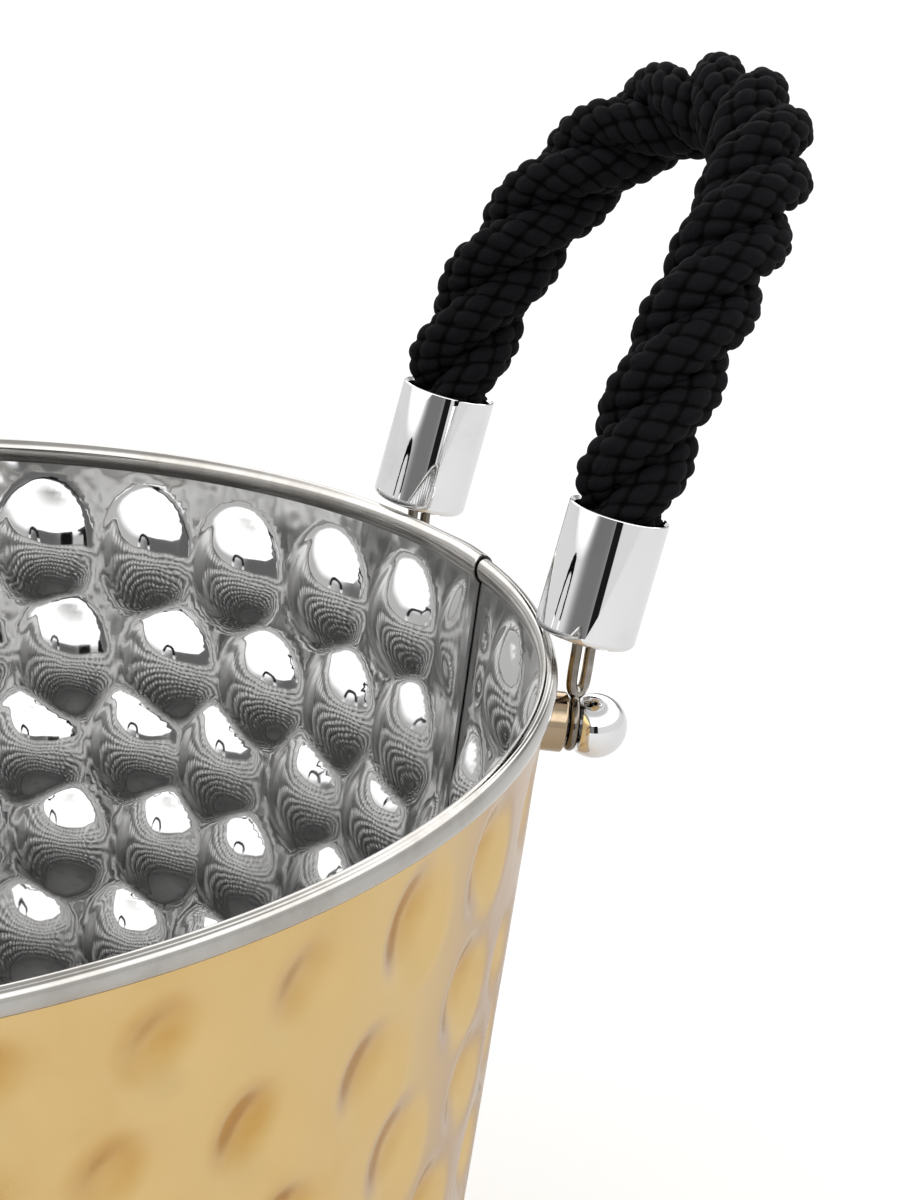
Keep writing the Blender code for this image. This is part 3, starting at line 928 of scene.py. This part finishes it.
def arch_line():
    """The rope's centreline in the handle's frame, from one cap over the crown to the other."""
    halves = []
    for sign in (-1.0, 1.0):
        corners = np.array([
            (sign * HALF_SPACING, MOUTH),
            (sign * HALF_SPACING, MOUTH + ARCH_RISE),
            (ARCH_DRIFT + sign * ARCH_CROWN, ARCH_HEIGHT),
            (ARCH_DRIFT, ARCH_HEIGHT),
        ])
        t = np.linspace(0, 1, 120)[:, None]
        weights = (1 - t) ** 3, 3 * t * (1 - t) ** 2, 3 * t * t * (1 - t), t ** 3
        halves.append(sum(w * c for w, c in zip(weights, corners)))
    flat = np.concatenate([halves[0], halves[1][::-1][1:]])
    outward = ARCH_BEND * (flat[:, 1] - MOUTH) ** 2
    line = np.stack([outward, flat[:, 0], flat[:, 1]], axis=1)
    tuck = np.linspace(ROPE_TUCK, 0.001, 16)[:, None] * np.array((0.0, 0.0, -1.0))
    return np.concatenate([line[0] + tuck, line, (line[-1] + tuck)[::-1]])


def even_line(line, step):
    """The same line with points a step apart, and the distance along it at each."""
    reach = np.concatenate([[0], np.cumsum(np.linalg.norm(np.diff(line, axis=0), axis=1))])
    wanted = np.linspace(0, reach[-1], int(reach[-1] / step) + 1)
    return np.stack([np.interp(wanted, reach, line[:, k]) for k in range(3)], axis=1), wanted


def unit(vectors):
    return vectors / np.linalg.norm(vectors, axis=1)[:, None]


def carried_frames(line):
    """Tangents, and two normals that turn no more than the line makes them."""
    ahead = unit(np.gradient(line, axis=0))
    first = np.zeros_like(line)
    guide = np.array((1.0, 0.0, 0.0))
    for i, tangent in enumerate(ahead):
        guide = guide - tangent * guide.dot(tangent)
        guide = guide / np.linalg.norm(guide)
        first[i] = guide
    return ahead, first, np.cross(ahead, first)


def plait_relief(turn, travel):
    """Height of the plaited cover over its core, and the place on the yarn that lies on top there.

    Two families of yarns climb the strand in opposite turns. Each is a low arch in section, and its
    middle waves out and in as it passes over one yarn and under the next.
    """
    twist = travel / PLAIT_PITCH
    rising = YARNS_EACH_WAY * (turn / (2 * math.pi) - twist)
    falling = YARNS_EACH_WAY * (turn / (2 * math.pi) + twist)
    heights = []
    for own, other, sign in ((rising, falling, 1.0), (falling, rising, -1.0)):
        middle = np.round(own)
        off = np.clip(np.abs(own - middle) * YARN_FIT, 0.0, 1.0)
        wave = YARN_WAVE * sign * np.cos(math.pi * middle) * np.cos(math.pi * other)
        heights.append(wave + YARN_BULGE * (1 - off ** 2))
    on_top = heights[0] >= heights[1]
    across = np.where(on_top, rising, falling)
    along = np.where(on_top, falling, rising)
    power = STITCH_SQUARENESS
    edge = np.abs(across - np.round(across)) ** power + np.abs(along - np.round(along)) ** power
    stitch = 1 - 2 * edge ** (1 / power)
    crease = YARN_CREASE * (1 - smooth_step(0.0, CREASE_REACH, stitch))
    return np.maximum(heights[0], heights[1]) - crease, across, along, stitch


def laid_strand(line, reach, number):
    """One strand's skin as rings of points, with the yarn coordinates at each point."""
    ahead, first, second = carried_frames(line)
    total = reach[-1]
    from_mouth = np.minimum(reach, total - reach) - ROPE_TUCK
    tight = NECK + (1 - NECK) * smooth_step(0.0, NECK_LENGTH, from_mouth)
    radius = STRAND_RADIUS * tight
    offset = radius * 2 / math.sqrt(3)
    change = smooth_step(LAY_CHANGE[0] * total, LAY_CHANGE[1] * total, reach)
    lay = LAY_FRONT + (LAY_BACK - LAY_FRONT) * change
    laid = np.concatenate([[0], np.cumsum(np.diff(reach) / lay[1:])])
    turn = 2 * math.pi * (LAY_PHASE + laid + number / 3)
    spoke = np.cos(turn)[:, None] * first + np.sin(turn)[:, None] * second
    centre = line + offset[:, None] * spoke
    heading = unit(np.gradient(centre, axis=0))
    out = unit(spoke - heading * np.sum(spoke * heading, axis=1)[:, None])
    side = np.cross(heading, out)
    travel = np.concatenate([[0], np.cumsum(np.linalg.norm(np.diff(centre, axis=0), axis=1))])
    # The cover's own join runs along the side that faces the other two strands.
    turns = np.linspace(-math.pi, math.pi, STRAND_AROUND + 1)[:-1]
    around, along_strand = np.meshgrid(turns, travel)
    relief, across, along, stitch = plait_relief(around, along_strand)
    reach_out = radius[:, None] - YARN_BULGE + relief * tight[:, None]
    points = centre[:, None, :] + reach_out[:, :, None] * (
        np.cos(around)[:, :, None] * out[:, None, :] + np.sin(around)[:, :, None] * side[:, None, :]
    )
    return points, across, along, stitch


def laid_rope(name):
    """Three strands in one mesh, in the handle's frame."""
    line, reach = even_line(arch_line(), STRAND_STEP)
    pieces, lies = [], []
    faces = []
    for number in range(3):
        points, across, along, stitch = laid_strand(line, reach, number)
        offset = sum(len(p) for p in pieces)
        rows, around = points.shape[:2]
        pieces.append(points.reshape(-1, 3))
        lies.append(np.stack([across, along, stitch], axis=2).reshape(-1, 3))
        for i in range(rows - 1):
            a, b = offset + i * around, offset + (i + 1) * around
            faces += [[a + j, a + (j + 1) % around, b + (j + 1) % around, b + j] for j in range(around)]
        faces.append([offset + j for j in reversed(range(around))])
        faces.append([offset + (rows - 1) * around + j for j in range(around)])
    rope = new_piece(name, np.concatenate(pieces), faces)
    lie = rope.data.attributes.new("yarn", "FLOAT_VECTOR", "POINT")
    lie.data.foreach_set("vector", np.concatenate(lies).astype(np.float32).ravel())
    return rope


# Painted shade: the near black laid into the gaps between stitches.
YARN_GAP_SHADE = (0.0006, 0.0006, 0.0007, 1.0)
YARN_DARK = (0.0030, 0.0029, 0.0033, 1.0)
YARN_PALE = (0.0100, 0.0097, 0.0115, 1.0)
FIBRE_DEPTH = 0.00012


def rope_yarn():
    """Black textured yarn: matte, a little fuzzy, with fibres that lie along each stitch."""
    material, tree, shader = new_material("black_yarn", 0.0)
    shader.inputs["Specular IOR Level"].default_value = 0.05
    shader.inputs["Sheen Weight"].default_value = 0.02
    shader.inputs["Sheen Roughness"].default_value = 0.40
    shader.inputs["Sheen Tint"].default_value = (0.40, 0.41, 0.48, 1.0)
    lie = node(tree, "ShaderNodeAttribute", (-1100, 0), attribute_name="yarn").outputs["Vector"]
    along_stitch = stretched(tree, lie, (14.0, 1.6, 1.0), (-900, 0))
    fibre = noise(tree, along_stitch, 1.0, 4.0, (-700, 0), roughness=0.6)
    thread = blend_colours(tree, fibre, YARN_DARK, YARN_PALE, (-400, 200))
    split = node(tree, "ShaderNodeSeparateXYZ", (-900, 300))
    tree.links.new(lie, split.inputs["Vector"])
    # Painted shade: the gaps between stitches are painted darker, as if in shadow.
    raised = fade(tree, split.outputs["Z"], 0.02, 0.26, (-700, 300))
    colour = blend_colours(tree, raised, YARN_GAP_SHADE, thread, (-200, 200))
    tree.links.new(colour, shader.inputs["Base Color"])
    fuzz = noise(tree, None, 120.0, 2.0, (-700, -300))
    rough = node(tree, "ShaderNodeMapRange", (-400, -200))
    rough.inputs["To Min"].default_value = 0.62
    rough.inputs["To Max"].default_value = 0.85
    tree.links.new(fuzz, rough.inputs["Value"])
    tree.links.new(rough.outputs["Result"], shader.inputs["Roughness"])
    bump_by(tree, shader, fibre, FIBRE_DEPTH, (-200, -300))
    return material


YARN = rope_yarn()
for side in SIDES:
    rope = laid_rope("laid_rope_" + side)
    rope.data.materials.append(YARN)
    place(rope, handle_frame(side), "handle_" + side, "black_rope", "rope_" + side)

# --------------------------------------------------------------------------------------------------
# Table, light and camera
# A pale plain floor, and a light tent with a bright band of silk half way up and dark upright panels
# round its foot. Three softboxes light it, and the camera stands above and in front of the bucket,
# close in on its right-hand handle.
# --------------------------------------------------------------------------------------------------

FLOOR_NEAR = 1.7
FLOOR_FAR = 18.0
FLOOR_LIFT = 0.20
TENT_SIDE = 0.80
TENT_BAND = 2.3
TENT_TOP = 0.65
TENT_FILL = 0.82
# Each panel's heading, half angle and softness in degrees, and its shade.
PANELS = ((224.0, 24.0, 14.0, 0.20), (252.0, 7.0, 0.5, 0.012), (45.0, 22.0, 4.0, 0.35))
PANEL_TOP = 0.30
CAMERA_REACH = 0.8210
CAMERA_AZIMUTH = math.radians(-98.2)
CAMERA_ABOVE_RIM = 0.2952
CAMERA_HEADING = math.radians(69.98)
CAMERA_PITCH = math.radians(-19.12)
CAMERA_ROLL = math.radians(1.67)
CAMERA_LENS = 113.06


def floor_plane():
    near, far = -FLOOR_NEAR, FLOOR_FAR
    corners = [(near, near, 0), (far, near, 0), (far, far, 0), (near, far, 0)]
    floor = new_piece("floor", corners, [[0, 1, 2, 3]], smooth=False)
    material, tree, shader = new_material("pale_floor", 0.0)
    shader.inputs["Base Color"].default_value = (0.90, 0.90, 0.895, 1.0)
    shader.inputs["Roughness"].default_value = 0.85
    shader.inputs["Specular IOR Level"].default_value = 0.1
    shader.inputs["Emission Color"].default_value = (1.0, 1.0, 1.0, 1.0)
    seen = node(tree, "ShaderNodeLightPath", (-500, -200))
    lift = math_node(tree, "MULTIPLY", seen.outputs["Is Camera Ray"], FLOOR_LIFT, (-250, -200))
    tree.links.new(lift, shader.inputs["Emission Strength"])
    floor.data.materials.append(material)


def tent_world():
    """A light tent: mirrors see a bright band of silk half way up, and greyer cloth elsewhere."""
    world = bpy.data.worlds.new("light_tent")
    bpy.context.scene.world = world
    world.use_nodes = True
    tree = world.node_tree
    background = tree.nodes["Background"]
    where = node(tree, "ShaderNodeTexCoord", (-1500, 0))
    split = node(tree, "ShaderNodeSeparateXYZ", (-1300, 0))
    tree.links.new(where.outputs["Generated"], split.inputs["Vector"])
    ramp = node(tree, "ShaderNodeValToRGB", (-900, 0))
    stops = ramp.color_ramp.elements
    stops[0].position, stops[0].color = 0.0, (TENT_SIDE, TENT_SIDE, TENT_SIDE * 0.99, 1.0)
    stops[1].position, stops[1].color = 0.80, (TENT_TOP, TENT_TOP, TENT_TOP, 1.0)
    for height, shade in ((0.20, TENT_SIDE), (0.30, TENT_BAND), (0.58, TENT_BAND)):
        stops.new(height).color = (shade, shade, shade, 1.0)
    tree.links.new(split.outputs["Z"], ramp.inputs["Fac"])

    # Dark upright panels stand round the tent, each where a direction lies near its heading.
    below = math_node(tree, "LESS_THAN", split.outputs["Z"], PANEL_TOP, (-900, -500))
    studio = ramp.outputs["Color"]
    flat = node(tree, "ShaderNodeVectorMath", (-1500, -300), operation="MULTIPLY")
    flat.inputs[1].default_value = (1.0, 1.0, 0.0)
    tree.links.new(where.outputs["Generated"], flat.inputs[0])
    bearing = node(tree, "ShaderNodeVectorMath", (-1300, -300), operation="NORMALIZE")
    tree.links.new(flat.outputs["Vector"], bearing.inputs[0])
    for heading, half_angle, softness, shade in PANELS:
        level = node(tree, "ShaderNodeVectorMath", (-1100, -300), operation="DOT_PRODUCT")
        tree.links.new(bearing.outputs["Vector"], level.inputs[0])
        turn = math.radians(heading)
        level.inputs[1].default_value = (math.cos(turn), math.sin(turn), 0.0)
        outer, inner = (math.cos(math.radians(half_angle + soft)) for soft in (softness, -softness))
        near = fade(tree, level.outputs["Value"], outer, inner, (-900, -300))
        panel = math_node(tree, "MULTIPLY", near, below, (-700, -300))
        studio = blend_colours(tree, panel, studio, (shade, shade, shade, 1.0), (-500, 0))

    path = node(tree, "ShaderNodeLightPath", (-700, 400))
    fill = (TENT_FILL, TENT_FILL, TENT_FILL, 1.0)
    lit = blend_colours(tree, path.outputs["Is Glossy Ray"], fill, studio, (-300, 0))
    colour = blend_colours(tree, path.outputs["Is Camera Ray"], lit, (1.0, 1.0, 1.0, 1.0), (-100, 0))
    tree.links.new(colour, background.inputs["Color"])


def softbox(name, spot, aim, size, power):
    light = bpy.data.lights.new(name, "AREA")
    light.shape = "RECTANGLE"
    light.size, light.size_y = size
    light.energy = power
    lamp = bpy.data.objects.new(name, light)
    lamp.location = spot
    lamp.rotation_euler = (Vector(aim) - Vector(spot)).to_track_quat("-Z", "Y").to_euler()
    lamp.visible_glossy = False
    bpy.context.scene.collection.objects.link(lamp)


def still_camera():
    camera = bpy.data.objects.new("camera", bpy.data.cameras.new("camera"))
    bpy.context.scene.collection.objects.link(camera)
    bpy.context.scene.camera = camera
    camera.data.lens = CAMERA_LENS
    camera.data.sensor_width = 36.0
    camera.location = (
        CAMERA_REACH * math.cos(CAMERA_AZIMUTH),
        CAMERA_REACH * math.sin(CAMERA_AZIMUTH),
        RIM_HEIGHT + CAMERA_ABOVE_RIM,
    )
    turn = Matrix.Rotation(CAMERA_HEADING - math.pi / 2, 4, "Z")
    tilt = Matrix.Rotation(math.pi / 2 + CAMERA_PITCH, 4, "X")
    roll = Matrix.Rotation(-CAMERA_ROLL, 4, "Z")
    camera.rotation_euler = (turn @ tilt @ roll).to_euler()


floor_plane()
tent_world()
softbox("overhead_softbox", (-0.35, -1.25, 1.95), (0.0, 0.0, 0.25), (1.5, 1.1), 9.0)
softbox("left_softbox", (-1.9, -0.3, 1.1), (0.0, 0.0, 0.3), (1.0, 1.4), 5.0)
softbox("back_softbox", (1.2, 1.7, 1.5), (0.0, 0.0, 0.3), (1.4, 0.8), 5.0)
still_camera()
bpy.context.scene.view_settings.view_transform = "Standard"
